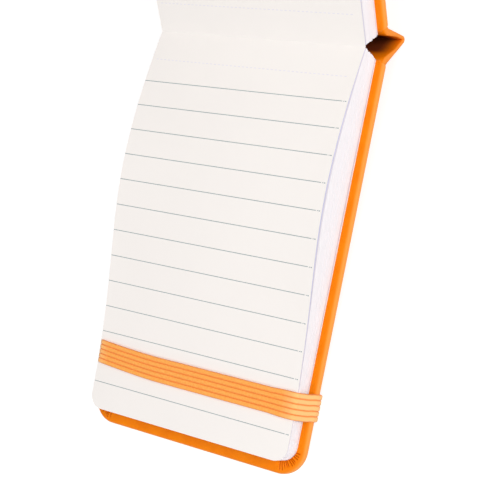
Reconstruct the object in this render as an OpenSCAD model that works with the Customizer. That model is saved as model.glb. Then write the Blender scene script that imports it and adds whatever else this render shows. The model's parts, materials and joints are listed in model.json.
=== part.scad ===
// A pocket journal bound along its top edge, lying open on its back.
// Two soft-edged covers and a hollow spine are made from boards wrapped in leatherette.
// The leaves are open at a spread, and a ribbed elastic band holds the unturned ones down.

/* [Covers] */
// Width of each cover, across the lines of the page
cover_w = 90; // [76:1:110]
// Length of each cover, from its spine edge to its outer edge
cover_l = 139.3; // [118:0.1:180]
// Thickness of a wrapped cover
cover_t = 3; // [2.6:0.1:3.6]
// Corner radius at the outer end of a cover
cover_corner_r = 9; // [8:0.5:14]
// Corner radius at the spine end of a cover
spine_corner_r = 2.5; // [2:0.1:4]
// Thickness of the leatherette round the board
leather_t = 0.6; // [0.4:0.05:0.8]
// Width of the leatherette turned in over the inside of the board
turn_in_w = 14; // [10:1:20]
// Folds gathered into the turn-in at each round corner
pleats = 9; // [5:1:12]
// Depth of the groove between two folds
pleat_depth = 0.35; // [0.2:0.05:0.45]
// Width of the groove between two folds
pleat_w = 0.7; // [0.4:0.05:0.9]

/* [Leaves] */
// Cover showing beside the leaves
side_square = 2.8; // [2:0.1:4]
// Cover showing past the foot of the leaves
foot_square = 4.7; // [3:0.1:7]
// Corner radius of the leaves
leaf_corner_r = 6; // [4:0.5:12]
// Height of the unturned leaves where the book opens
gutter_h = 8; // [6:0.1:9]
// Height of the unturned leaves at the top of their swell
swell_h = 14.2; // [11:0.1:15]
// Height of the unturned leaves at their foot
foot_h = 5.8; // [5:0.05:7]
// Height of the turned leaves at their foot
turned_foot_h = 6.6; // [5:0.1:7.5]
// Thickness of the endpaper pasted inside each cover
endpaper_t = 0.2; // [0.15:0.05:0.3]
// Thickness of the cloth glued over the backs of the leaves
lining_t = 0.3; // [0.2:0.05:0.4]

/* [Binding] */
// Angle that the turned half stands up from the plane of the back cover
lift_angle = 34.4; // [25:0.2:45]
// Distance that the gutter lies past the spine edge of a cover
gutter_past = 1.7; // [1.7:0.1:3]
// Thickness of the spine leatherette, folded double
spine_t = 1.5; // [1:0.1:1.5]
// Radius of the fold where the spine meets a cover
fold_r = 0.75; // [0.7:0.05:0.85]
// Radius of the ridge that the spine folds to
ridge_r = 1.4; // [1.2:0.05:1.8]
// How far the ridge lies past the spine edge of the back cover
ridge_past = 8.9; // [8:0.1:10.5]
// How far the ridge lies below the inner face of the back cover
ridge_drop = 10; // [9:0.1:12]
// Gap between pieces that move past each other
running_gap = 0.3; // [0.25:0.05:0.5]

/* [Elastic band] */
// Width of the band
band_w = 9; // [6:0.2:12]
// Thickness of a rib of the band
band_t = 1; // [0.8:0.05:1.2]
// Ribs woven along the band
band_ribs = 5; // [4:1:8]
// Width of the groove between two ribs
rib_gap = 0.3; // [0.2:0.05:0.5]
// Depth of the groove between two ribs
rib_depth = 0.3; // [0.15:0.05:0.4]
// Distance from the outer edge of the cover to the middle of the band
band_from_foot = 23.7; // [18:0.1:40]
// Distance from the side of the cover to the slit that takes the band
slit_inset = 11; // [8:0.5:16]

/* [Hidden] */
$fn = 48;

leatherette = [0.98, 0.52, 0.08];
elastic_orange = [0.98, 0.62, 0.25];
paper_white = [0.97, 0.95, 0.92];
endpaper_white = [0.93, 0.92, 0.9];
board_grey = [0.62, 0.6, 0.56];
cloth_white = [0.88, 0.87, 0.84];

edge_r = cover_t / 2;
leaf_w = cover_w - 2 * side_square;
leaf_foot_y = foot_square - cover_l;
gutter = [gutter_past, gutter_h];

// The board lies in the middle of the cover, with leatherette all round it.
board_t = cover_t - 2 * leather_t;
board_inset = leather_t + edge_r - sqrt(edge_r * edge_r - board_t * board_t / 4);
endpaper_inset = side_square + 0.5;
pleat_start_r = 2;

// Every fold of the spine turns about a line along X; these are its [y, z] points.
back_fold = [sqrt(pow(edge_r + fold_r + running_gap, 2) - pow(edge_r - fold_r, 2)) - edge_r,
             fold_r - cover_t];
ridge = [ridge_past, -ridge_drop];
front_fold = turned(back_fold);

// The two panels leave the ridge at an angle, and the upper one starts where they are clear.
lower_run = back_fold - ridge;
upper_run = front_fold - ridge;
panel_angle = acos(lower_run * upper_run / (norm(lower_run) * norm(upper_run)));
upper_start = max(ridge_r, spine_t / 2 / sin(panel_angle / 2)) + running_gap / 2;

// A journal lying open stands on the ridge of its spine and the outer edge of its back cover.
foot_centre = [edge_r - cover_l, -edge_r];
stance = ridge - foot_centre;
tilt = asin((ridge_r - edge_r) / norm(stance)) - atan2(stance[1], stance[0]);
front_foot = turned(foot_centre);
y_middle = (stood(foot_centre)[0] - edge_r + stood(front_foot)[0] + edge_r) / 2;
z_floor = stood(foot_centre)[1] - edge_r;

function swung(p, a) = [p[0] * cos(a) - p[1] * sin(a), p[0] * sin(a) + p[1] * cos(a)];
// A [y, z] point of the back half, carried to its twin in the turned half
function turned(p) = gutter + swung([gutter[0] - p[0], p[1] - gutter[1]], lift_angle);
function stood(p) = swung(p, tilt);
function bezier(p, t) = pow(1 - t, 3) * p[0] + 3 * pow(1 - t, 2) * t * p[1]
                        + 3 * (1 - t) * t * t * p[2] + pow(t, 3) * p[3];

// The unturned leaves swell between the gutter and the band; the turned ones lie nearly flat.
// Each curve leaves the gutter and settles at the foot; a swell is highest a third of the way along.
leaf_run = gutter_past - leaf_foot_y;
leaf_middle_y = leaf_foot_y + leaf_run / 2;
settle_h = 1.08 * foot_h;
swell_reach = (27 * swell_h - 8 * gutter_h - 6 * settle_h - foot_h) / 12;
swell = [gutter, [leaf_middle_y, swell_reach], [leaf_middle_y, settle_h], [leaf_foot_y, foot_h]];
calm = [gutter, [leaf_middle_y, gutter_h], [leaf_middle_y, turned_foot_h],
        [leaf_foot_y, turned_foot_h]];
curve_steps = 28;
function curve(p) = [for (i = [0:curve_steps]) bezier(p, i / curve_steps)];
function height_at(p, y) = lookup(y, curve(p));

module stand() {
    translate([0, -y_middle, -z_floor]) rotate([tilt, 0, 0]) children();
}

// Carries a piece drawn on the back half to the turned half
module turn_over() {
    translate([0, gutter[0], gutter[1]]) rotate([lift_angle, 0, 0])
        mirror([0, 1, 0]) translate([0, -gutter[0], -gutter[1]]) children();
}

// Extrudes a [y, z] outline along X, centred
module across(width) {
    translate([-width / 2, 0, 0]) rotate([90, 0, 90]) linear_extrude(width) children();
}

// Outline of a board: its outer corners are r_end, and those at the spine r_spine
module cover_outline(inset, r_end, r_spine) {
    w = cover_w - 2 * inset;
    l = cover_l - 2 * inset;
    translate([0, -inset]) {
        translate([-w / 2, r_end - l]) square([w, l - r_end - r_spine]);
        translate([r_end - w / 2, -l]) square([w - 2 * r_end, 2 * r_end]);
        translate([r_spine - w / 2, -2 * r_spine]) square([w - 2 * r_spine, 2 * r_spine]);
        for (side = [-1, 1]) {
            translate([side * (w / 2 - r_end), r_end - l]) circle(r_end);
            translate([side * (w / 2 - r_spine), -r_spine]) circle(r_spine);
        }
    }
}

// Half a disc, the round section of a soft cover's edge
module edge_section() {
    intersection() {
        circle(edge_r);
        translate([0, -edge_r]) square([edge_r, cover_t]);
    }
}

// A quarter turn of the round edge at a corner
module soft_corner(x, y, r, from_angle) {
    translate([x, y, -edge_r]) rotate([0, 0, from_angle])
        rotate_extrude(angle = 90) translate([r - edge_r, 0]) edge_section();
}

// The wrapped cover's outer form, with a round edge all the way
module soft_cover() {
    re = cover_corner_r;
    rs = spine_corner_r;
    translate([0, 0, -cover_t])
        linear_extrude(cover_t) cover_outline(edge_r, re - edge_r, rs - edge_r);
    for (side = [-1, 1])
        translate([side * (cover_w / 2 - edge_r), re - cover_l, -edge_r])
            rotate([-90, 0, 0]) cylinder(h = cover_l - re - rs, r = edge_r);
    translate([re - cover_w / 2, edge_r - cover_l, -edge_r])
        rotate([0, 90, 0]) cylinder(h = cover_w - 2 * re, r = edge_r);
    translate([rs - cover_w / 2, -edge_r, -edge_r])
        rotate([0, 90, 0]) cylinder(h = cover_w - 2 * rs, r = edge_r);
    soft_corner(cover_w / 2 - re, re - cover_l, re, -90);
    soft_corner(re - cover_w / 2, re - cover_l, re, 180);
    soft_corner(cover_w / 2 - rs, -rs, rs, 0);
    soft_corner(rs - cover_w / 2, -rs, rs, 90);
}

// V-shaped grooves between the folds gathered into the turn-in round each outer corner
module pleat_grooves() {
    for (side = [-1, 1])
        translate([side * (cover_w / 2 - cover_corner_r), cover_corner_r - cover_l, 0])
            for (i = [1:pleats])
                rotate([0, 0, side * (90 - 90 * i / (pleats + 1)) - 90])
                    translate([pleat_start_r, 0, 0]) rotate([90, 0, 90])
                        linear_extrude(cover_corner_r - edge_r - pleat_start_r)
                            polygon([[-pleat_w, pleat_depth], [pleat_w, pleat_depth],
                                     [0, -pleat_depth]]);
}

// A slit through the cover for each end of the band
module band_slits(extra) {
    for (side = [-1, 1])
        translate([side * (cover_w / 2 - slit_inset), band_from_foot - cover_l, -edge_r])
            cube([band_t + 2 * extra, band_w + 2 * extra, cover_t + 1], center = true);
}

module cover_skin() {
    difference() {
        soft_cover();
        translate([0, 0, leather_t - cover_t]) linear_extrude(board_t)
            cover_outline(board_inset, cover_corner_r - board_inset, spine_corner_r - board_inset);
        translate([0, 0, -leather_t - 0.01]) linear_extrude(leather_t + 0.02)
            cover_outline(turn_in_w, 1.5, 1.5);
        pleat_grooves();
    }
}

module board() {
    translate([0, 0, leather_t - cover_t]) linear_extrude(board_t)
        cover_outline(board_inset, cover_corner_r - board_inset, spine_corner_r - board_inset);
}

module endpaper() {
    linear_extrude(endpaper_t) difference() {
        cover_outline(endpaper_inset, leaf_corner_r - 0.5, 1);
        translate([-cover_w / 2, -cover_l]) square([cover_w, foot_square + 0.5]);
    }
    translate([0, 0, -leather_t]) linear_extrude(leather_t + endpaper_t / 2)
        cover_outline(turn_in_w, 1.5, 1.5);
}

// Plan of the leaves, with round corners at the foot only
module leaf_plan() {
    difference() {
        translate([-leaf_w / 2, leaf_foot_y]) square([leaf_w, leaf_run + 1]);
        for (side = [-1, 1])
            translate([side * (leaf_w / 2 - leaf_corner_r), leaf_foot_y + leaf_corner_r])
                difference() {
                    translate([side > 0 ? 0 : -leaf_corner_r - 1, -leaf_corner_r - 1])
                        square(leaf_corner_r + 1);
                    circle(leaf_corner_r);
                }
    }
}

// The leaves of one half: their backs slant away from the gutter to heel_y at the cover
module leaves(profile, heel_y) {
    intersection() {
        across(leaf_w) polygon(concat(
            [for (p = curve(profile)) p - [running_gap / 2, 0]],
            [[leaf_foot_y, endpaper_t], [heel_y, endpaper_t]]));
        translate([0, 0, -1]) linear_extrude(3 * gutter_h) leaf_plan();
    }
}

// The cloth glued to the slanting backs of the leaves, short of the gutter
module lining(heel_y) {
    heel = [heel_y, endpaper_t];
    head = gutter - [running_gap / 2, 0];
    along = (head - heel) / norm(head - heel);
    out = [along[1], -along[0]];
    low = heel + 0.5 * along;
    high = head - 1.2 * along;
    across(leaf_w - 4) polygon([low, high, high + lining_t * out, low + lining_t * out]);
}

unturned_heel = -0.2;
turned_heel = 0.9;

module back_cover() {
    color(leatherette) stand() difference() {
        cover_skin();
        band_slits(0.1);
    }
}

module back_board() {
    color(board_grey) stand() difference() {
        board();
        band_slits(0.1);
    }
}

module back_endpaper() {
    color(endpaper_white) stand() endpaper();
}

module unturned_leaves() {
    color(paper_white) stand() leaves(swell, unturned_heel);
}

module unturned_lining() {
    color(cloth_white) stand() lining(unturned_heel);
}

module front_cover() {
    color(leatherette) stand() turn_over() cover_skin();
}

module front_board() {
    color(board_grey) stand() turn_over() board();
}

module front_endpaper() {
    color(endpaper_white) stand() turn_over() endpaper();
}

module turned_leaves() {
    color(paper_white) stand() turn_over() leaves(calm, turned_heel);
}

module turned_lining() {
    color(cloth_white) stand() turn_over() lining(turned_heel);
}

// A flat strip of leatherette between two [y, z] points
module spine_strip(a, b) {
    along = (b - a) / norm(b - a);
    side = spine_t / 2 * [along[1], -along[0]];
    across(cover_w) polygon([a - side, a + side, b + side, b - side]);
}

module rod(p, r) {
    translate([-cover_w / 2, p[0], p[1]]) rotate([0, 90, 0]) cylinder(h = cover_w, r = r);
}

// From the back cover's fold to the ridge that the journal stands on
module spine_lower_panel() {
    color(leatherette) stand() {
        rod(back_fold, fold_r);
        spine_strip(back_fold, ridge);
        rod(ridge, ridge_r);
    }
}

// From the ridge up to the front cover's fold
module spine_upper_panel() {
    color(leatherette) stand() {
        difference() {
            spine_strip(ridge, front_fold);
            rod(ridge, upper_start);
        }
        rod(front_fold, fold_r);
    }
}

// The band's path round the back half, as the line round two soft edges of the cover and two
// sharp edges of the leaves, each a circle [x, z, r]
band_y = band_from_foot - cover_l;
band_seat_h = height_at(swell, band_y + band_w / 2);
band_rounds = [
    [cover_w / 2 - edge_r, -edge_r, edge_r],
    [leaf_w / 2, band_seat_h, 0],
    [-leaf_w / 2, band_seat_h, 0],
    [edge_r - cover_w / 2, -edge_r, edge_r]];
band_gap = 0.05;
arc_steps = 8;

// Outward direction of the straight run from round i to the next
function run_angle(i) = let (a = band_rounds[i], b = band_rounds[(i + 1) % 4])
    atan2(b[1] - a[1], b[0] - a[0]) - 90 + asin((b[2] - a[2]) / norm([b[0] - a[0], b[1] - a[1]]));
function band_line(off) = [for (i = [0:3]) let (
        c = band_rounds[i], from = run_angle((i + 3) % 4), to = run_angle(i),
        turn = (to - from + 720) % 360)
    for (k = [0:arc_steps]) let (a = from + turn * k / arc_steps)
        [c[0] + (c[2] + off) * cos(a), c[1] + (c[2] + off) * sin(a)]];

// A slice of the band's loop, with its back open between the slits
module band_slice(from_y, width, thick) {
    slit_x = cover_w / 2 - slit_inset;
    translate([0, from_y + width, 0]) rotate([90, 0, 0]) linear_extrude(width) difference() {
        polygon(band_line(band_gap + thick));
        polygon(band_line(band_gap));
        translate([-slit_x, -cover_t - 2 * band_t])
            square([2 * slit_x, 2 * band_t + 0.5 * cover_t]);
    }
}

// Ribs run the length of the band on a thinner web, and each end passes into its slit.
module elastic_band() {
    pitch = (band_w + rib_gap) / band_ribs;
    under = cover_t + band_gap + band_t - rib_depth;
    color(elastic_orange) stand() {
        band_slice(band_y - band_w / 2, band_w, band_t - rib_depth);
        for (i = [0:band_ribs - 1])
            band_slice(band_y - band_w / 2 + i * pitch, pitch - rib_gap, band_t);
        for (side = [-1, 1])
            translate([side * (cover_w / 2 - slit_inset) - band_t / 2, band_y - band_w / 2, -under])
                cube([band_t, band_w, under]);
    }
}

back_cover();
back_board();
back_endpaper();
unturned_leaves();
unturned_lining();
elastic_band();
front_cover();
front_board();
front_endpaper();
turned_leaves();
turned_lining();
spine_lower_panel();
spine_upper_panel();
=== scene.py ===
# %% [markdown]
# A pocket journal that is bound along its top edge, lying open at a spread.
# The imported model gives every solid, joint and size. This file dresses it: leatherette over
# the boards, leaves with printed rules, a ribbed elastic band and a folded spine.

# %% Load the frame
import json
import math
import random

import bmesh
import bpy
import numpy as np
from mathutils import Matrix, Vector


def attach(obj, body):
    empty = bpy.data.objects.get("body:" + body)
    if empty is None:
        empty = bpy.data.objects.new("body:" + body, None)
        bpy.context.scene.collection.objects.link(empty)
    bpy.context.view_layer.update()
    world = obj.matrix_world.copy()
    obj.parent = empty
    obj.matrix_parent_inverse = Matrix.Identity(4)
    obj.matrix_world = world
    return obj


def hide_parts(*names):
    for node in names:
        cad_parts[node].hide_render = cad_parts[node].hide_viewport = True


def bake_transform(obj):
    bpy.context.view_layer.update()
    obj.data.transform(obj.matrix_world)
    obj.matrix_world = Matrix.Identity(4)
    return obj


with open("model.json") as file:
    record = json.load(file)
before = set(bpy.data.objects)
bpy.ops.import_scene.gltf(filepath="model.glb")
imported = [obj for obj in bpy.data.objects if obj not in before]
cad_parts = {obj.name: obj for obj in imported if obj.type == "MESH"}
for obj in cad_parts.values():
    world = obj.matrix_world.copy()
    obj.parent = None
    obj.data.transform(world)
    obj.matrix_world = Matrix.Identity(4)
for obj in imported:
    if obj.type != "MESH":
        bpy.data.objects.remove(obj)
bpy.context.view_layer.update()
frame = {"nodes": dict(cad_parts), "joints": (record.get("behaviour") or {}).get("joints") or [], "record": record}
mm = 0.001
print("nodes:", sorted(frame["nodes"]))

# %% [markdown]
# The camera stands where the photograph was taken from: to the right of the journal and
# above it, with the spine towards the top of the picture. A long lens keeps the two long
# edges of the cover nearly parallel.

# %% Camera
camera_place = Vector((0.2580, -0.0876, 0.3703))
camera_aim = Vector((0.0105, -0.0593, 0.0100))
camera_up = Vector((-0.1545, 0.9710, 0.1823))
picture_px = 500
focal_px = 1300


def look(place, aim, up):
    """The world matrix of something at place that looks at aim."""
    back = (place - aim).normalized()
    side = up.cross(back).normalized()
    turn = Matrix((side, back.cross(side), back)).transposed()
    return Matrix.Translation(place) @ turn.to_4x4()


camera_data = bpy.data.cameras.new("camera")
camera_data.sensor_width = 36
camera_data.lens = camera_data.sensor_width * focal_px / picture_px
camera_data.clip_start = 0.01
camera = bpy.data.objects.new("camera", camera_data)
camera.matrix_world = look(camera_place, camera_aim, camera_up)
bpy.context.scene.collection.objects.link(camera)
bpy.context.scene.camera = camera
bpy.context.scene.view_settings.view_transform = "Standard"
print("lens", round(camera_data.lens, 1), "mm")

# %% [markdown]
# Both halves of the journal are the same shape, so each piece is drawn once, on a back cover
# that lies level: Y runs from its foot to its spine edge at 0, and Z is 0 on its inner face.
# One matrix lays that drawing on the table, and a second one first turns it over about the
# gutter, which is the line where the book opens. The gutter's place and the slope of the
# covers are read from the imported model.

# %% Places of the two halves
cover_w = 90 * mm
cover_l = 139.3 * mm
cover_t = 3 * mm
joints = {joint["name"]: joint for joint in frame["joints"]}
front_face = frame["record"]["mounts"][0]["axis"]
lift = math.radians(34.4)
gutter = Vector((0, 1.7 * mm, 8 * mm))

tilt = math.atan2(front_face[1], -front_face[2]) - lift
lay_down = (
    Matrix.Translation(joints["front_cover_hinge"]["pos_m"])
    @ Matrix.Rotation(tilt, 4, "X")
    @ Matrix.Translation(-gutter)
)
turn_over = (
    Matrix.Translation(gutter)
    @ Matrix.Rotation(lift, 4, "X")
    @ Matrix.Scale(-1, 4, (0, 1, 0))
    @ Matrix.Translation(-gutter)
)
HALVES = {"back": lay_down, "front": lay_down @ turn_over}
BODIES = {"back": "back_half", "front": "front_half"}
print("the back cover leans by", round(math.degrees(tilt), 2), "degrees")

# %% [markdown]
# Every material is built from nodes, so it needs no pictures. These helpers keep the recipes
# short: they add a node, start a material, run a factor through colours, mix two colours,
# vary the brightness of one colour, add up two heights and turn a height into a bump.

# %% Material helpers
def node(tree, kind, links=(), **settings):
    """Adds a node; settings go to its sockets by name, or to its own properties."""
    made = tree.nodes.new(kind)
    for key, value in settings.items():
        if key in made.bl_rna.properties:
            setattr(made, key, value)
        else:
            made.inputs[key.replace("_", " ")].default_value = value
    for socket, source in links:
        tree.links.new(source, made.inputs[socket])
    return made


def start_material(name, **shader_settings):
    """A new material, its node tree and its shader, with plain values on the shader."""
    material = bpy.data.materials.new(name)
    material.use_nodes = True
    tree = material.node_tree
    shader = tree.nodes["Principled BSDF"]
    for key, value in shader_settings.items():
        shader.inputs[key.replace("_", " ")].default_value = value
    return material, tree, shader


def ramp(tree, factor, *stops):
    """A colour that runs through stops of place and colour while factor goes from 0 to 1."""
    made = node(tree, "ShaderNodeValToRGB", [("Fac", factor)])
    elements = made.color_ramp.elements
    for place, _ in stops[1:-1]:
        elements.new(place)
    for element, (place, colour) in zip(elements, stops):
        element.position = place
        element.color = colour
    return made.outputs["Color"]


def mix(tree, factor, first, second):
    """The colour at factor between two others, each a socket or a fixed colour."""
    made = node(tree, "ShaderNodeMix", [("Factor", factor)], data_type="RGBA")
    for index, part in ((6, first), (7, second)):
        if isinstance(part, bpy.types.NodeSocket):
            tree.links.new(part, made.inputs[index])
        else:
            made.inputs[index].default_value = part
    return made.outputs[2]


def vary(tree, shader, colour, noise, low, high):
    """Gives the shader a colour whose brightness goes from low to high with a noise."""
    shade = node(tree, "ShaderNodeMapRange", [("Value", noise.outputs["Fac"])], To_Min=low, To_Max=high)
    tinted = node(tree, "ShaderNodeVectorMath", [("Scale", shade.outputs["Result"])], operation="SCALE")
    tinted.inputs[0].default_value = colour[:3]
    tree.links.new(tinted.outputs["Vector"], shader.inputs["Base Color"])


def add_scaled(tree, fine, share, coarse):
    """Adds a share of a fine height to a coarse one."""
    made = node(tree, "ShaderNodeMath", operation="MULTIPLY_ADD")
    tree.links.new(fine, made.inputs[0])
    made.inputs[1].default_value = share
    tree.links.new(coarse, made.inputs[2])
    return made.outputs[0]


def bump(tree, shader, height, strength, distance):
    """Feeds a height in 0 to 1 to the shader as a bump that is distance deep."""
    made = node(tree, "ShaderNodeBump", [("Height", height)], Strength=strength, Distance=distance)
    tree.links.new(made.outputs["Normal"], shader.inputs["Normal"])


def srgb(red, green, blue):
    """A colour as a picture shows it, 0 to 255, as the linear colour that a node holds."""
    shares = [channel / 255 for channel in (red, green, blue)]
    return [s / 12.92 if s <= 0.04045 else ((s + 0.055) / 1.055) ** 2.4 for s in shares] + [1]


# %% [markdown]
# Leatherette is cloth under a skin of coloured plastic, pressed with a fine pebbled grain.
# Small cells give the pebbles and a fine noise breaks up their height. A broad noise shifts
# the orange a little, since a real cover is never one flat colour. The other tones are painted
# light: painted shade darkens the folds of the gathered corners, a painted highlight makes the
# skin paler round the rim, and painted shade makes it dark brown deep inside the spine. Each
# mesh holds the shares of these tones.

# %% Leatherette
ORANGE = srgb(244, 129, 1)
ORANGE_PALE = srgb(247, 134, 3)
ORANGE_DEEP = srgb(240, 124, 0)
# Painted light: painted shade in the folds of the corners, a painted highlight round the rim and at the spine's
# ends, and painted shade in the hollow of the spine.
PAINTED_TONES = {"painted_crease_shade": srgb(196, 90, 0), "painted_highlight": srgb(254, 162, 72), "hollow_shade": srgb(112, 50, 22)}


def leatherette():
    material, tree, shader = start_material("leatherette", Roughness=0.45, Specular_IOR_Level=0.1)
    place = node(tree, "ShaderNodeTexCoord").outputs["Object"]
    mottle = node(tree, "ShaderNodeTexNoise", [("Vector", place)], Scale=180, Detail=4)
    cells = node(tree, "ShaderNodeTexVoronoi", [("Vector", place)], Scale=2600)
    fine = node(tree, "ShaderNodeTexNoise", [("Vector", place)], Scale=5200, Detail=2)
    toned = ramp(tree, mottle.outputs["Fac"], (0.3, ORANGE_DEEP), (0.5, ORANGE), (0.7, ORANGE_PALE))
    # Each painted shade and painted highlight tone is mixed in by its share on the mesh.
    for name, tone in PAINTED_TONES.items():
        share = node(tree, "ShaderNodeAttribute", attribute_name=name)
        toned = mix(tree, share.outputs["Fac"], toned, tone)
    tree.links.new(toned, shader.inputs["Base Color"])
    grain = add_scaled(tree, fine.outputs["Fac"], 0.35, cells.outputs["Distance"])
    bump(tree, shader, grain, 0.35, 0.08 * mm)
    return material


LEATHERETTE = leatherette()
print("made", LEATHERETTE.name)

# %% [markdown]
# Paper is nearly white and quite matt. Its fibres show as a very shallow bump. The cut
# edges of the leaves are a little cooler in colour and rougher. Two duller copies of that
# paper are painted shade: a lilac painted shadow and a fainter grey painted shade.

# %% Paper
def paper(name, colour, cut_bump):
    material, tree, shader = start_material(name, Roughness=0.85, Specular_IOR_Level=0.25)
    place = node(tree, "ShaderNodeTexCoord").outputs["Object"]
    fibre = node(tree, "ShaderNodeTexNoise", [("Vector", place)], Scale=1500, Detail=6)
    cloud = node(tree, "ShaderNodeTexNoise", [("Vector", place)], Scale=45, Detail=2)
    vary(tree, shader, colour, cloud, 0.975, 1.0)
    bump(tree, shader, fibre.outputs["Fac"], 0.12 + cut_bump, 0.03 * mm)
    return material


PAGE = paper("page_paper", srgb(247, 242, 238), 0.0)
LEAF_EDGE = paper("leaf_edge_paper", srgb(249, 246, 250), 0.2)
# Painted shadow and painted shade on the cut edges of sheets in shade.
PAINTED_SHADOW_LEAF = paper("painted_shadow_leaf_paper", srgb(206, 206, 232), 0.2)
PAINTED_SHADE_LEAF = paper("painted_shade_leaf_paper", srgb(226, 221, 230), 0.2)
ENDPAPER = paper("endpaper", srgb(246, 240, 236), 0.0)
print("made", PAGE.name, LEAF_EDGE.name, PAINTED_SHADOW_LEAF.name, PAINTED_SHADE_LEAF.name, ENDPAPER.name)

# %% [markdown]
# The print, the board and the lining cloth need only simple recipes. The ink of the rules is
# a plain grey and that of the tear row a faint lilac, and both lie matt on the paper. Board
# is speckled grey card, and the lining is an open weave of two crossed sets of threads whose
# dark brown is painted shade for the hollow of the spine.

# %% Ink, board and lining cloth
def ink(name, colour):
    material, tree, shader = start_material(name, Roughness=0.8, Specular_IOR_Level=0.2)
    place = node(tree, "ShaderNodeTexCoord").outputs["Object"]
    wear = node(tree, "ShaderNodeTexNoise", [("Vector", place)], Scale=900, Detail=3)
    vary(tree, shader, colour, wear, 0.9, 1.1)
    return material


def greyboard():
    material, tree, shader = start_material("greyboard", Roughness=0.9)
    place = node(tree, "ShaderNodeTexCoord").outputs["Object"]
    speck = node(tree, "ShaderNodeTexNoise", [("Vector", place)], Scale=1200, Detail=5)
    card = ramp(tree, speck.outputs["Fac"], (0, srgb(140, 135, 126)), (1, srgb(176, 171, 162)))
    tree.links.new(card, shader.inputs["Base Color"])
    bump(tree, shader, speck.outputs["Fac"], 0.3, 0.05 * mm)
    return material


def shade_dark_lining_cloth():
    material, tree, shader = start_material("shade_dark_lining_cloth", Roughness=0.95)
    place = node(tree, "ShaderNodeTexCoord").outputs["Object"]
    warp = node(tree, "ShaderNodeTexWave", [("Vector", place)], Scale=700, bands_direction="X")
    weft = node(tree, "ShaderNodeTexWave", [("Vector", place)], Scale=700, bands_direction="Z")
    weave = node(tree, "ShaderNodeMath", operation="MAXIMUM")
    tree.links.new(warp.outputs["Fac"], weave.inputs[0])
    tree.links.new(weft.outputs["Fac"], weave.inputs[1])
    # The dark brown threads are painted shade for the hollow of the spine.
    cloth = ramp(tree, weave.outputs[0], (0, srgb(70, 46, 34)), (1, srgb(110, 84, 66)))
    tree.links.new(cloth, shader.inputs["Base Color"])
    bump(tree, shader, weave.outputs[0], 0.5, 0.1 * mm)
    return material


RULE_INK = ink("rule_ink", srgb(150, 164, 166))
FAINT_INK = ink("faint_ink", srgb(233, 229, 238))
GREYBOARD = greyboard()
SHADE_DARK_LINING = shade_dark_lining_cloth()
print("made", RULE_INK.name, FAINT_INK.name, GREYBOARD.name, SHADE_DARK_LINING.name)

# %% [markdown]
# The elastic is woven: ribs run along it, and the threads that cross them show as fine
# steps. The ribs are modelled, so the recipe adds only the crossing threads and painted
# shade, a deeper colour between the ribs. Where the band is bent over the edge it is painted
# paler, as a painted highlight.
# The recipe reads the piece's own UV map, in metres, whose first number runs along the band
# from the middle of the page and whose second runs across it.

# %% Woven elastic
band_w = 9 * mm
ribs = 5
# The band's painted highlight grows between these places along it.
band_highlight_from = 37 * mm
band_highlight_to = 43 * mm


def woven_elastic():
    material, tree, shader = start_material("woven_elastic", Roughness=0.75, Sheen_Weight=0.2)
    place = node(tree, "ShaderNodeUVMap", uv_map="along_band").outputs["UV"]
    split = node(tree, "ShaderNodeSeparateXYZ", [("Vector", place)])
    across = split.outputs["Y"]
    bend = node(tree, "ShaderNodeMapRange", [("Value", split.outputs["X"])],
                From_Min=band_highlight_from, From_Max=band_highlight_to)
    rib = node(tree, "ShaderNodeMath", [("Value", across)], operation="PINGPONG")
    rib.inputs[1].default_value = band_w / ribs / 2
    crest = node(tree, "ShaderNodeMapRange", [("Value", rib.outputs[0])], From_Max=0.42 * band_w / ribs / 2)
    thread = node(tree, "ShaderNodeTexWave", [("Vector", place)], Scale=420, Distortion=1.5, Detail=2)
    fuzz = node(tree, "ShaderNodeTexNoise", [("Vector", place)], Scale=1400, Detail=4)
    yarn = ramp(tree, fuzz.outputs["Fac"], (0.3, srgb(253, 160, 58)), (0.7, srgb(255, 178, 82)))
    # Painted highlight where the band is bent over the edge.
    yarn = mix(tree, bend.outputs["Result"], yarn, srgb(255, 193, 120))
    # Painted shade: a deeper orange between the ribs.
    yarn = mix(tree, crest.outputs["Result"], srgb(240, 128, 36), yarn)
    tree.links.new(yarn, shader.inputs["Base Color"])
    height = add_scaled(tree, fuzz.outputs["Fac"], 0.8, thread.outputs["Fac"])
    bump(tree, shader, height, 0.3, 0.08 * mm)
    return material


ELASTIC = woven_elastic()
print("made", ELASTIC.name)

# %% [markdown]
# A piece is finished the same way each time: its mesh is carried to its place and its faces
# are turned outwards, because turning a half over mirrors it. A negative volume shows that
# they all point inwards.

# %% Finish a piece
def add_piece(bm, name, half, materials, smooth_deg=35):
    """Puts a drawn mesh into the scene as a piece of one half of the journal."""
    bmesh.ops.remove_doubles(bm, verts=bm.verts, dist=0.0005 * mm)
    bm.transform(HALVES[half])
    bmesh.ops.recalc_face_normals(bm, faces=bm.faces)
    if bm.calc_volume(signed=True) < 0:
        bmesh.ops.reverse_faces(bm, faces=bm.faces)
    mesh = bpy.data.meshes.new(name)
    bm.to_mesh(mesh)
    bm.free()
    for material in materials:
        mesh.materials.append(material)
    mesh.shade_smooth()
    mesh.set_sharp_from_angle(angle=math.radians(smooth_deg))
    piece = bpy.data.objects.new(name, mesh)
    bpy.context.scene.collection.objects.link(piece)
    print(name, len(mesh.polygons), "faces")
    return piece


def extrude_up(bm, faces, shift):
    """Extrudes faces by shift and returns the moved vertices."""
    made = bmesh.ops.extrude_face_region(bm, geom=faces)["geom"]
    moved = [part for part in made if isinstance(part, bmesh.types.BMVert)]
    bmesh.ops.translate(bm, verts=moved, vec=shift)
    return moved


def is_level(edge, z):
    return all(abs(v.co.z - z) < 0.001 * mm for v in edge.verts)


def smooth(share):
    """A share that is held between 0 and 1 and leaves both ends gently."""
    share = min(1, max(0, share))
    return share * share * (3 - 2 * share)


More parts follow.
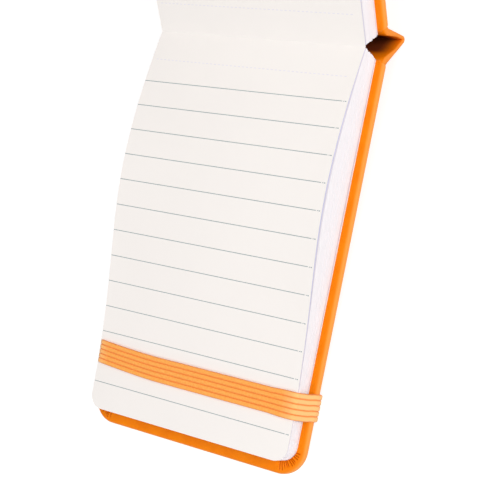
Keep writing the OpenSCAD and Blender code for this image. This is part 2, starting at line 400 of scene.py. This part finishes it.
# %% [markdown]
# A cover is a board wrapped in leatherette: the skin runs over the outer face, round a soft
# edge and a little way in over the inner face. It starts as a flat rectangle. Its corners
# are bevelled to arcs, it is extruded to the cover's thickness, and more bevels round the
# rim, softer on the inner side. Many short steps in the outer corners leave room for the
# gathers, and a narrow ring inside the rim keeps the flat outer face evenly shaded. Round
# the edge each vertex keeps a share of a painted highlight, a paler orange on the rim.

# %% Outline and rounded rim of a cover
cover_corner_r = 9 * mm
spine_corner_r = 2.5 * mm
inner_rim_r = 1.1 * mm
outer_rim_r = 0.8 * mm
corner_steps = 96
flat_ring_w = 0.4 * mm
# The painted highlight stops this far short of the inner and the outer face.
painted_highlight_from_inner = 0.8 * mm
painted_highlight_from_outer = 0.3 * mm


def flat_face(bm, z):
    """The large flat face of a cover at a height."""
    level = [f for f in bm.faces if abs(f.calc_center_median().z - z) < 0.01 * mm]
    return max(level, key=lambda f: f.calc_area())


def plate_with_round_rim():
    bm = bmesh.new()
    bmesh.ops.create_grid(bm, x_segments=1, y_segments=1, size=0.5)
    bmesh.ops.scale(bm, verts=bm.verts, vec=(cover_w, cover_l, 1))
    bmesh.ops.translate(bm, verts=bm.verts, vec=(0, -cover_l / 2, -cover_t))
    for at_foot, radius, steps in ((True, cover_corner_r, corner_steps), (False, spine_corner_r, 12)):
        middle_y = -cover_l / 2
        corners = [v for v in bm.verts if (v.co.y < middle_y) == at_foot]
        bmesh.ops.bevel(bm, geom=corners, offset=radius, segments=steps, profile=0.5,
                        affect="VERTICES", material=-1)
    extrude_up(bm, bm.faces[:], (0, 0, cover_t))
    for level, radius in ((0, inner_rim_r), (-cover_t, outer_rim_r)):
        rim = [e for e in bm.edges if is_level(e, level)]
        bmesh.ops.bevel(bm, geom=rim, offset=radius, segments=6, profile=0.5,
                        affect="EDGES", material=-1)
    bmesh.ops.inset_region(bm, faces=[flat_face(bm, -cover_t)], thickness=flat_ring_w, use_even_offset=True)
    # Painted highlight: the share of paler orange on the rounded rim.
    painted_highlight_layer = bm.verts.layers.float.new("painted_highlight")
    for v in bm.verts:
        below_inner = smooth(-v.co.z / painted_highlight_from_inner)
        above_outer = smooth((v.co.z + cover_t) / painted_highlight_from_outer)
        v[painted_highlight_layer] = min(below_inner, above_outer)
    return bm


# %% [markdown]
# Where leatherette is turned in round a corner there is too much of it, so it is gathered in
# small folds that point at the corner's centre. The inner face is opened, each corner arc
# is extruded inwards ring by ring, and the rings dip where two folds meet. Each dip has its
# own width and length from a seeded random draw, as hand-pressed folds do, and its depth is
# also kept as the share of painted shade that darkens the fold.

# %% Gathered corners
pleats = 11
pleat_depth = 0.42 * mm
pleat_start_r = 2 * mm
pleat_rings = 16
pleat_rise = 1.5 * mm
pleat_fade = 0.8 * mm


def pleat_dips(rng):
    """The angle, half width and reach of each dip in one corner."""
    step = math.pi / 2 / (pleats + 1)
    dips = []
    for i in range(pleats):
        angle = step * (i + 1) + rng.uniform(-0.2, 0.2) * step
        half_width = rng.uniform(0.22, 0.34) * mm
        reach = rng.uniform(0.94, 1.08)
        dips.append((angle, half_width, reach))
    return dips


def dip_at(dips, angle, radius, outer_r):
    """The share of the full depth to which the leatherette dips at an angle and radius."""
    depth = 0
    for middle, half_width, reach in dips:
        aside = abs(angle - middle) * radius / half_width
        if aside < 1:
            fade = min(1, max(0, (reach * outer_r - radius) / pleat_fade))
            rise = min(1, max(0, (radius - pleat_start_r) / pleat_rise))
            depth = max(depth, (1 - aside) * fade * rise)
    return depth


def gather_corner(bm, side, rng):
    """Rings of leatherette inside one outer corner, dipped between its folds."""
    centre = Vector((side * (cover_w / 2 - cover_corner_r), cover_corner_r - cover_l, 0))
    outer_r = cover_corner_r - inner_rim_r
    painted_crease_shade_layer = bm.verts.layers.float.get("painted_crease_shade") or bm.verts.layers.float.new("painted_crease_shade")

    def in_arc(v):
        out = v.co - centre
        return abs(out.length - outer_r) < 0.01 * mm and out.x * side > -1e-6 and out.y < 1e-6

    ring = [e for e in bm.edges if e.is_boundary and in_arc(e.verts[0]) and in_arc(e.verts[1])]
    dips = pleat_dips(rng)
    radius = outer_r
    for step in range(pleat_rings):
        made = bmesh.ops.extrude_edge_only(bm, edges=ring)["geom"]
        moved = [part for part in made if isinstance(part, bmesh.types.BMVert)]
        ring = [part for part in made if isinstance(part, bmesh.types.BMEdge)]
        next_r = outer_r + (pleat_start_r - outer_r) * (step + 1) / pleat_rings
        bmesh.ops.scale(bm, verts=moved, vec=(next_r / radius, next_r / radius, 1),
                        space=Matrix.Translation(-centre))
        radius = next_r
        for v in moved:
            out = v.co - centre
            angle = math.atan2(-out.y, out.x * side)
            depth = dip_at(dips, angle, radius, outer_r)
            v.co.z = -depth * pleat_depth
            # Painted shade: the deeper the dip, the darker its colour.
            v[painted_crease_shade_layer] = depth


# %% [markdown]
# On the real journal the turn-in stops short of the middle, where the board is bare. The
# endpaper and the leaves hide that, so here a triangle fill simply closes the leatherette
# between the gathered corners.

# %% Wrap a cover
def wrap_cover(name, half, seed):
    rng = random.Random(seed)
    bm = plate_with_round_rim()
    bmesh.ops.delete(bm, geom=[flat_face(bm, 0)], context="FACES_ONLY")
    for side in (1, -1):
        gather_corner(bm, side, rng)
    open_edges = [e for e in bm.edges if e.is_boundary]
    bmesh.ops.triangle_fill(bm, edges=open_edges, use_beauty=True)
    piece = add_piece(bm, name, half, [LEATHERETTE], smooth_deg=50)
    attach(piece, BODIES[half])
    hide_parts(half + "_cover")


wrap_cover("back_cover_wrap", "back", 11)
wrap_cover("front_cover_wrap", "front", 12)

# %% [markdown]
# The leaves swell up between the gutter and the band, because they are held down at both
# ends. One smooth curve gives the height of the top leaf at every place. The turned leaves
# lie nearly flat against the front cover, on a curve of their own.

# %% Curves of the leaves
side_square = 2.8 * mm
foot_square = 4.7 * mm
leaf_corner_r = 5 * mm
endpaper_t = 0.2 * mm
swell_h = 14.2 * mm
foot_h = 5.8 * mm
turned_foot_h = 6.6 * mm
leaf_w = cover_w - 2 * side_square
leaf_foot_y = foot_square - cover_l
leaf_run = gutter.y - leaf_foot_y


def curve_of_heights(first_h, second_h, last_h):
    """Places and heights along a curve from the gutter to the foot of the leaves."""
    t = np.linspace(0, 1, 200)
    middle_y = leaf_foot_y + leaf_run / 2
    weights = [(1 - t) ** 3, 3 * (1 - t) ** 2 * t, 3 * (1 - t) * t ** 2, t ** 3]
    y = sum(w * p for w, p in zip(weights, (gutter.y, middle_y, middle_y, leaf_foot_y)))
    z = sum(w * p for w, p in zip(weights, (gutter.z, first_h, second_h, last_h)))
    return y[::-1], z[::-1]


settle_h = 1.08 * foot_h
swell_reach = (27 * swell_h - 8 * gutter.z - 6 * settle_h - foot_h) / 12
CURVES = {
    "back": curve_of_heights(swell_reach, settle_h, foot_h),
    "front": curve_of_heights(gutter.z, turned_foot_h, turned_foot_h),
}


def height_at(half, y):
    return float(np.interp(y, *CURVES[half]))


print("highest leaf", round(max(CURVES["back"][1]) / mm, 1), "mm")

# %% [markdown]
# The open page is a sheet of its own, and its sides lift a little off the leaves under it
# between the gutter and the band. The space under it catches a thin shadow along the edge.

# %% Space under the open page
page_t = 0.12 * mm
page_lift = {"back": 0.32 * mm, "front": 0.12 * mm}


def page_gap(half, x, y):
    """Height of the space between the stack of leaves and the open page."""
    near_edge = abs(x / (leaf_w / 2)) ** 6
    along = (y - leaf_foot_y) / leaf_run
    between = math.sin(math.pi * min(1, max(0, (along - 0.12) / 0.86)))
    return page_lift[half] * near_edge * between


# %% [markdown]
# A block of leaves is a stack of thin sheets. Each sheet here stands for several leaves: it
# is a flat outline with two round corners, cut across into short strips, extruded, and then
# laid on its share of the height. A hair of space and a tiny difference in size between
# sheets give the fine lines that the cut edges of real paper show, and a wider space above
# the lowest marks it as the flyleaf. The sheet under the open page is coloured with a painted
# shadow, and the next one and the flyleaf with a fainter painted shade.

# %% Stack of leaves
HEEL_Y = {"back": -0.2 * mm, "front": 0.9 * mm}
LEAF_PAPERS = [LEAF_EDGE, PAINTED_SHADOW_LEAF, PAINTED_SHADE_LEAF]
strips = 44
top_inset = 0.15 * mm
most_inset = 0.09 * mm
most_jut = 0.5 * mm
sheet_fill = 0.94
fly_gap = 0.35
gutter_gap = 0.02 * mm


def sheet_outline(grow, columns=()):
    """A flat sheet with round corners at its foot, cut into strips and columns."""
    bm = bmesh.new()
    bmesh.ops.create_grid(bm, x_segments=1, y_segments=1, size=0.5)
    head_y = gutter.y - gutter_gap
    bmesh.ops.scale(bm, verts=bm.verts, vec=(leaf_w + 2 * grow, head_y - leaf_foot_y + grow, 1))
    bmesh.ops.translate(bm, verts=bm.verts, vec=(0, (head_y + leaf_foot_y - grow) / 2, 0))
    foot = [v for v in bm.verts if v.co.y < leaf_foot_y / 2]
    bmesh.ops.bevel(bm, geom=foot, offset=leaf_corner_r, segments=10, profile=0.5,
                    affect="VERTICES", material=-1)
    for i in range(1, strips):
        cut_y = leaf_foot_y + leaf_run * i / strips
        bmesh.ops.bisect_plane(bm, geom=bm.verts[:] + bm.edges[:] + bm.faces[:],
                               plane_co=(0, cut_y, 0), plane_no=(0, 1, 0))
    for share in columns:
        for side in (1, -1):
            bmesh.ops.bisect_plane(bm, geom=bm.verts[:] + bm.edges[:] + bm.faces[:],
                                   plane_co=(side * share * leaf_w / 2, 0, 0), plane_no=(1, 0, 0))
    return bm


def lay_sheet(bm, half, low, high, thickness=0, jut=0):
    """Extrudes a flat sheet and lays it between two shares of the block's height."""
    top = set(extrude_up(bm, bm.faces[:], (0, 0, 1 * mm)))
    for v in bm.verts:
        share = high if v in top else low
        heel = HEEL_Y[half] + share * (gutter.y - gutter_gap - HEEL_Y[half]) - jut
        along = (v.co.y - leaf_foot_y) / (gutter.y - gutter_gap - leaf_foot_y)
        v.co.z = endpaper_t + share * (height_at(half, v.co.y) - endpaper_t)
        if thickness:
            v.co.z += page_gap(half, v.co.x, v.co.y) + (thickness if v in top else 0)
        v.co.y = leaf_foot_y + along * (heel - leaf_foot_y)


def stack_leaves(half, sheets, seed):
    rng = random.Random(seed)
    # Painted shadow on the top sheet, fainter painted shade on the next one and the flyleaf.
    tinted = {0: PAINTED_SHADE_LEAF, sheets - 2: PAINTED_SHADE_LEAF, sheets - 1: PAINTED_SHADOW_LEAF}
    stack = bmesh.new()
    for i in range(sheets):
        inset = top_inset if i == sheets - 1 else rng.uniform(0, most_inset)
        low = (i + fly_gap) / sheets if i == 1 else i / sheets
        bm = sheet_outline(-inset)
        lay_sheet(bm, half, low, (i + sheet_fill) / sheets, jut=rng.uniform(0, most_jut))
        material_index = LEAF_PAPERS.index(tinted.get(i, LEAF_EDGE))
        for face in bm.faces:
            face.material_index = material_index
        part = bpy.data.meshes.new("part")
        bm.to_mesh(part)
        bm.free()
        stack.from_mesh(part)
        bpy.data.meshes.remove(part)
    piece = add_piece(stack, half + "_leaf_stack", half, LEAF_PAPERS)
    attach(piece, BODIES[half])
    return piece


back_stack = stack_leaves("back", 22, 21)
front_stack = stack_leaves("front", 20, 22)
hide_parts("unturned_leaves")
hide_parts("turned_leaves")

# %% [markdown]
# The endpaper is the same sheet, pasted flat on the cover and kept a little shorter than the
# leaves. The open page is a finer one, cut into columns too, so that its sides can lift.

# %% Endpapers and open pages
endpaper_grow = 0.05 * mm
endpaper_foot_gap = 0.3 * mm
endpaper_heel_gap = 0.5 * mm
page_grow = 0.05 * mm
page_columns = (0.4, 0.55, 0.68, 0.78, 0.86, 0.93, 0.97)


def endpaper(half):
    bm = sheet_outline(endpaper_grow)
    extrude_up(bm, bm.faces[:], (0, 0, endpaper_t))
    low_y = leaf_foot_y + endpaper_foot_gap
    high_y = HEEL_Y[half] - endpaper_heel_gap
    for v in bm.verts:
        v.co.y = low_y + (v.co.y - leaf_foot_y) * (high_y - low_y) / leaf_run
    piece = add_piece(bm, half + "_endpaper_sheet", half, [ENDPAPER])
    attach(piece, BODIES[half])
    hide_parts(half + "_endpaper")


endpaper("back")
endpaper("front")


def open_page(half):
    bm = sheet_outline(page_grow, page_columns)
    lay_sheet(bm, half, 1, 1, page_t)
    piece = add_piece(bm, half + "_open_page", half, [PAGE])
    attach(piece, BODIES[half])


open_page("back")
open_page("front")

# %% [markdown]
# The rules are printed at one pitch from near the gutter to the foot. Each one is a thin
# strip of ink that follows the slope of the page, stops short of the edge and ends in two
# dots, given below by where each starts and ends and by its share of the rule's width. A row
# of short pale dashes before the first rule marks where a leaf tears off.

# %% Printed rules
first_rule_y = gutter.y - 18.9 * mm
rule_pitch = 9.01 * mm
rules = 13
rule_w = 0.24 * mm
ink_t = 0.02 * mm
rule_start_gap = 0.1 * mm
rule_end_gap = 2.2 * mm
dots = ((0.4 * mm, 0.85 * mm, 1), (1.05 * mm, 1.6 * mm, 1.3))
dash_y = gutter.y - 10.6 * mm
dash_pitch = 1.7 * mm
dash_l = 0.9 * mm
dash_w = 0.25 * mm
dash_margin = 2 * mm


def page_top(half, x, y):
    """Height of the printed face of the open page."""
    return height_at(half, y) + page_gap(half, x, y) + page_t


def ink_strip(bm, half, x0, x1, y, width, pieces):
    """A strip of ink from x0 to x1 on the page at y."""
    made = bmesh.ops.create_grid(bm, x_segments=pieces, y_segments=1, size=0.5)["verts"]
    bmesh.ops.scale(bm, verts=made, vec=(x1 - x0, width, 1))
    bmesh.ops.translate(bm, verts=made, vec=((x0 + x1) / 2, y, 0))
    faces = list({f for v in made for f in v.link_faces})
    top = extrude_up(bm, faces, (0, 0, ink_t))
    for v in set(made) | set(top):
        v.co.z += page_top(half, v.co.x, v.co.y) - ink_t / 2


def print_rules(half):
    bm = bmesh.new()
    left = rule_start_gap - leaf_w / 2
    right = leaf_w / 2 - rule_end_gap
    for i in range(rules):
        y = first_rule_y - i * rule_pitch
        ink_strip(bm, half, left, right, y, rule_w, 24)
        for start, end, width in dots:
            ink_strip(bm, half, right + start, right + end, y, rule_w * width, 1)
    piece = add_piece(bm, half + "_rules", half, [RULE_INK])
    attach(piece, BODIES[half])
    bm = bmesh.new()
    for i in range(int((leaf_w - 1.5 * dash_margin) / dash_pitch)):
        x = dash_margin - leaf_w / 2 + i * dash_pitch
        ink_strip(bm, half, x, x + dash_l, dash_y, dash_w, 1)
    piece = add_piece(bm, half + "_tear_row", half, [FAINT_INK])
    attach(piece, BODIES[half])


print_rules("back")
print_rules("front")


# %% [markdown]
# The elastic and the leather of the spine keep one cross-section along a bent line. So each
# is a section that is extruded again and again, by short slides and turns, and the end face
# that each step leaves inside the piece is taken out. The line is described by its rounds, a
# centre and a radius each, that it touches one after another; a positive radius turns left
# and a negative one turns right.

# %% Sweep a section along a line
def slides(vector, steps):
    """A straight run, in equal steps."""
    return [(Matrix.Translation(vector / steps), vector.length / steps)] * steps


def turns(centre, angle, radius, axis, steps):
    """A turn about a line through centre, in equal steps."""
    spin = Matrix.Rotation(angle / steps, 4, axis)
    move = Matrix.Translation(centre) @ spin @ Matrix.Translation(-centre)
    return [(move, abs(angle) * radius / steps)] * steps


def route(stops, axis, straight_steps, turn_steps):
    """Slides and turns along a line that is tangent to each stop (u, v, radius)."""
    headings = []
    lengths = []
    for (u1, v1, r1), (u2, v2, r2) in zip(stops, stops[1:]):
        span = math.hypot(u2 - u1, v2 - v1)
        lean = math.asin((r2 - r1) / span)
        headings.append(math.atan2(v2 - v1, u2 - u1) - lean)
        lengths.append(span * math.cos(lean))
    moves = []
    for i, (heading, length) in enumerate(zip(headings, lengths)):
        if i:
            u, v, radius = stops[i]
            swing = (heading - headings[i - 1] + math.pi) % (2 * math.pi) - math.pi
            centre = Vector((u, 0, v)) if axis == "Y" else Vector((0, u, v))
            angle = -swing if axis == "Y" else swing
            moves += turns(centre, angle, abs(radius), axis, turn_steps)
        along = (length * math.cos(heading), length * math.sin(heading))
        vector = Vector((along[0], 0, along[1])) if axis == "Y" else Vector((0, *along))
        moves += slides(vector, straight_steps[i])
    return moves


def sweep(bm, faces, moves):
    """Extrudes faces through the moves; two vertex layers keep the run and the lean so far."""
    run_layer = bm.verts.layers.float.new("run")
    lean_layer = bm.verts.layers.float.new("lean")
    run = 0
    heading = Vector((0, 1, 0))
    for matrix, length in moves:
        made = bmesh.ops.extrude_face_region(bm, geom=faces)["geom"]
        if run:
            bmesh.ops.delete(bm, geom=faces, context="FACES")
        moved = [part for part in made if isinstance(part, bmesh.types.BMVert)]
        faces = [part for part in made if isinstance(part, bmesh.types.BMFace)]
        run += length
        heading = matrix.to_3x3() @ heading
        bmesh.ops.transform(bm, matrix=matrix, verts=moved, space=Matrix.Identity(4))
        for v in moved:
            v[run_layer] = run
            v[lean_layer] = math.atan2(heading.z, heading.y)
    return run_layer, lean_layer


# %% [markdown]
# The elastic's section is a row of squares across the width, whose outer side is raised
# into ribs. Half of the loop is swept from the middle of the page, over the edge of the
# leaves, round the soft edge of the cover and into its slit, and mirrored. A loop that is
# pulled on by hand never lies quite straight, so it bows a little and is narrower at its
# left. It lies on a sloping page, and each point of it settles to the page under it.

# %% Elastic band
band_t = 0.95 * mm
band_gap = 0.03 * mm
columns_a_rib = 8
rib_depth = 0.32 * mm
slit_x = cover_w / 2 - 11 * mm
band_y = 23.7 * mm - cover_l
bow_h = 1.4 * mm
bow_from = 0.35
whole_shift = 0.3 * mm
left_end_in = 0.6 * mm


def pull_askew(v):
    """Moves a point of the straight loop to where the pulled-on loop has it."""
    leftwards = max(0, -v.co.x / (leaf_w / 2))
    on_leaves = smooth(v.co.z / (3 * mm))
    bow = bow_h * (max(0, leftwards - bow_from) / (1 - bow_from)) ** 1.5 - whole_shift
    narrow = 0.06 * smooth((38 * mm - v.co.x) / (6 * mm)) + 0.04 * smooth(leftwards)
    v.co.y = band_y + (v.co.y - band_y) * (1 - narrow * on_leaves) + bow * on_leaves
    v.co.x += left_end_in * smooth((leftwards - 0.9) / 0.1) * on_leaves


def rib_height(across):
    """Height of the band's outer side at a share of its width."""
    aside = abs(across * ribs % 1 - 0.5) * 2
    return band_t - rib_depth * max(0, (aside - 0.55) / 0.45) ** 1.5


def band_section(bm, z):
    made = bmesh.ops.create_grid(bm, x_segments=ribs * columns_a_rib, y_segments=1, size=0.5)["verts"]
    for v in made:
        share = v.co.x + 0.5
        height = rib_height(share) if v.co.y > 0 else 0
        v.co = (0, band_y + v.co.x * band_w, z + height)
    return list({f for v in made for f in v.link_faces})


def elastic_band():
    seat_h = height_at("back", band_y + band_w / 2) + page_t + band_gap
    leaf_round = 1.3 * mm
    slit_round = 0.5 * mm
    stops = [
        (0, seat_h, 0),
        (leaf_w / 2 + band_gap - leaf_round, seat_h - leaf_round, -leaf_round),
        (cover_w / 2 - inner_rim_r, -inner_rim_r, -inner_rim_r - band_gap),
        (cover_w / 2 - outer_rim_r, outer_rim_r - cover_t, -outer_rim_r - band_gap),
        (slit_x + band_t / 2 + slit_round, slit_round - cover_t - band_gap, -slit_round),
        (slit_x + band_t / 2, -0.3 * mm, 0),
    ]
    bm = bmesh.new()
    across_layer = bm.verts.layers.float.new("across")
    section = band_section(bm, seat_h)
    run_layer = sweep(bm, section, route(stops, "Y", (20, 8, 2, 6, 3), 10))[0]
    middle = [f for f in bm.faces if abs(f.calc_center_median().x) < 0.001 * mm]
    bmesh.ops.delete(bm, geom=middle, context="FACES")
    bmesh.ops.mirror(bm, geom=bm.verts[:] + bm.edges[:] + bm.faces[:], merge_dist=0.001 * mm, axis="X")
    for v in bm.verts:
        across = v.co.y - band_y + band_w / 2
        v[across_layer] = across
        pull_askew(v)
        page_drop = seat_h - band_gap - page_t - height_at("back", v.co.y)
        v.co.z -= page_drop * min(1, max(0, v.co.z / seat_h))
    uv = bm.loops.layers.uv.new("along_band")
    for face in bm.faces:
        for loop in face.loops:
            loop[uv].uv = (loop.vert[run_layer], loop.vert[across_layer])
    piece = add_piece(bm, "elastic", "back", [ELASTIC], smooth_deg=60)
    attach(piece, "back_half")
    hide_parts("elastic_band")


elastic_band()

# %% [markdown]
# The spine of the real journal is the covers' own leatherette, two layers thick. It leaves
# the outer face of each cover, bends out and meets the other side in a sharp ridge, with a
# hollow behind it. Each side is one sheet here, whose root thickens where it comes out of
# the cover's skin. Near its cover it bends with the cover, and at the ridge each sheet curls
# round the same line, so their two curls overlap. The sheet's inner side holds a painted
# shade, dark brown deep in the hollow, that fades out towards its ends and its root, and
# its ends hold a painted highlight.

# %% Spine sheets
spine_t = 1.4 * mm
root_t = 2.9 * mm
root_run = 9 * mm
curl_r = 0.72 * mm
fold_y = -1.15 * mm
fold_r = 0.4 * mm + spine_t / 2
tuck_run = 1.5 * mm
tuck_in = 1.6 * mm
# How far the painted shade in the hollow reaches in from each end, and how it fades from the root.
hollow_shade_from = 6 * mm
hollow_shade_fade = 4 * mm
end_round = 0.5 * mm
# How far the painted highlight reaches in from each end.
painted_highlight_w = 0.6 * mm
ridge = Vector((0, 8.9, -10)) * mm


def spine_sheet(name, half, body, curl_deg, shrink):
    """A sheet from the outer face of a cover to the ridge, thicker at the cover."""
    end = ridge if half == "back" else turn_over.inverted() @ ridge
    sheet_z = spine_t / 2 - cover_t + 0.04 * mm
    stops = [(fold_y - tuck_run, sheet_z, 0), (fold_y, sheet_z - fold_r, -fold_r), (end.y, end.z, curl_r)]
    moves = route(stops, "X", (5, 26), 8) + turns(end, math.radians(curl_deg), curl_r, "X", 12)
    bm = bmesh.new()
    inner_layer = bm.verts.layers.float.new("inner")
    columns = [share * hollow_shade_from for share in (0, 0.25, 0.5, 0.75, 1)]
    made = bmesh.ops.create_grid(bm, x_segments=2 * len(columns) - 1, y_segments=1, size=0.5)["verts"]
    places = sorted({round(v.co.x, 4) for v in made})
    for v in made:
        i = places.index(round(v.co.x, 4))
        half_w = cover_w / 2 - shrink - columns[min(i, len(places) - 1 - i)]
        v.co = (math.copysign(half_w, v.co.x), stops[0][0], sheet_z + 2 * v.co.y * (spine_t / 2 - shrink))
    corners = [v for v in made if abs(v.co.x) > cover_w / 2 - shrink - 0.01 * mm]
    bmesh.ops.bevel(bm, geom=corners, offset=end_round, segments=5, profile=0.5,
                    affect="VERTICES", material=-1)
    painted_highlight_layer = bm.verts.layers.float.new("painted_highlight")
    hollow_shade_layer = bm.verts.layers.float.new("hollow_shade")
    for v in bm.verts:
        from_end = cover_w / 2 - abs(v.co.x)
        v[inner_layer] = 0.5 + (v.co.z - sheet_z) / spine_t
        # Painted highlight at the ends and painted shade on the inner side.
        v[painted_highlight_layer] = 0.5 * smooth(1 - from_end / painted_highlight_w)
        v[hollow_shade_layer] = smooth(from_end / hollow_shade_from) if v.co.z > sheet_z else 0
    run_layer, lean_layer = sweep(bm, bm.faces[:], moves)
    for v in bm.verts:
        # The painted shade fades out towards the root.
        v[hollow_shade_layer] *= smooth((v[run_layer] - 2 * tuck_run) / hollow_shade_fade)
        swell = (root_t - spine_t) * v[inner_layer] * max(0, 1 - v[run_layer] / root_run)
        v.co += swell * Vector((0, -math.sin(v[lean_layer]), math.cos(v[lean_layer])))
        v.co.x *= 1 - max(0, 1 - v[run_layer] / tuck_run) * tuck_in / (cover_w / 2)
    piece = add_piece(bm, name, half, [LEATHERETTE], smooth_deg=60)
    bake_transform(piece)
    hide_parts(body + "_panel")


spine_sheet("spine_lower_sheet", "back", "spine_lower", 86, 0)
spine_sheet("spine_upper_sheet", "front", "spine_upper", 84, 0.03 * mm)

# %% [markdown]
# The boards of the imported model are hidden and its linings show only in the hollow of the
# spine. They keep their own meshes and just get their materials; the linings' dark brown is
# painted shade.

# %% Dress the imported model
for name, material in (
    ("back_board", GREYBOARD), ("front_board", GREYBOARD),
    ("unturned_lining", SHADE_DARK_LINING), ("turned_lining", SHADE_DARK_LINING),
):
    for slot in frame["nodes"][name].material_slots:
        slot.material = material

# %% [markdown]
# The journal was photographed on white. The floor is a white sheet that carries on as far as
# the camera sees, and it keeps the journal's soft shadow.

# %% Floor
def floor_sheet():
    bm = bmesh.new()
    bmesh.ops.create_grid(bm, x_segments=1, y_segments=1, size=3)
    mesh = bpy.data.meshes.new("floor")
    bm.to_mesh(mesh)
    bm.free()
    material, tree, shader = start_material("white_sheet", Roughness=0.9, Specular_IOR_Level=0.1)
    shader.inputs["Base Color"].default_value = (0.6, 0.6, 0.6, 1)
    path = node(tree, "ShaderNodeLightPath")
    seen = node(tree, "ShaderNodeMath", [("Value", path.outputs["Is Camera Ray"])], operation="MAXIMUM")
    tree.links.new(path.outputs["Is Glossy Ray"], seen.inputs[1])
    glow = node(tree, "ShaderNodeMath", [("Value", seen.outputs[0])], operation="MULTIPLY")
    glow.inputs[1].default_value = 0.65
    shader.inputs["Emission Color"].default_value = (1, 1, 1, 1)
    tree.links.new(glow.outputs[0], shader.inputs["Emission Strength"])
    mesh.materials.append(material)
    floor = bpy.data.objects.new("floor", mesh)
    bpy.context.scene.collection.objects.link(floor)


floor_sheet()

# %% [markdown]
# The light is a soft box to the right of the journal and above it, which lights the
# fore-edge and gives the rim of the cover its highlight. A larger, weaker one beyond the
# foot lights the turned page, and a pale sky keeps the shadows open.

# %% Lights
def soft_box(name, place, size, power, colour):
    data = bpy.data.lights.new(name, "AREA")
    data.size = size
    data.energy = power
    data.color = colour
    light = bpy.data.objects.new(name, data)
    light.matrix_world = look(Vector(place), Vector((0, 0, 0.02)), Vector((0, 0, 1)))
    bpy.context.scene.collection.objects.link(light)


soft_box("key_light", (0.75, 0.05, 0.60), 0.4, 5.3, (1.0, 0.99, 0.975))
soft_box("foot_light", (-0.1, -0.6, 0.85), 0.8, 3.2, (0.98, 0.985, 1.0))
world = bpy.data.worlds.new("pale_sky")
world.use_nodes = True
world.node_tree.nodes["Background"].inputs["Color"].default_value = (1.0, 1.0, 1.0, 1)
world.node_tree.nodes["Background"].inputs["Strength"].default_value = 0.45
bpy.context.scene.world = world
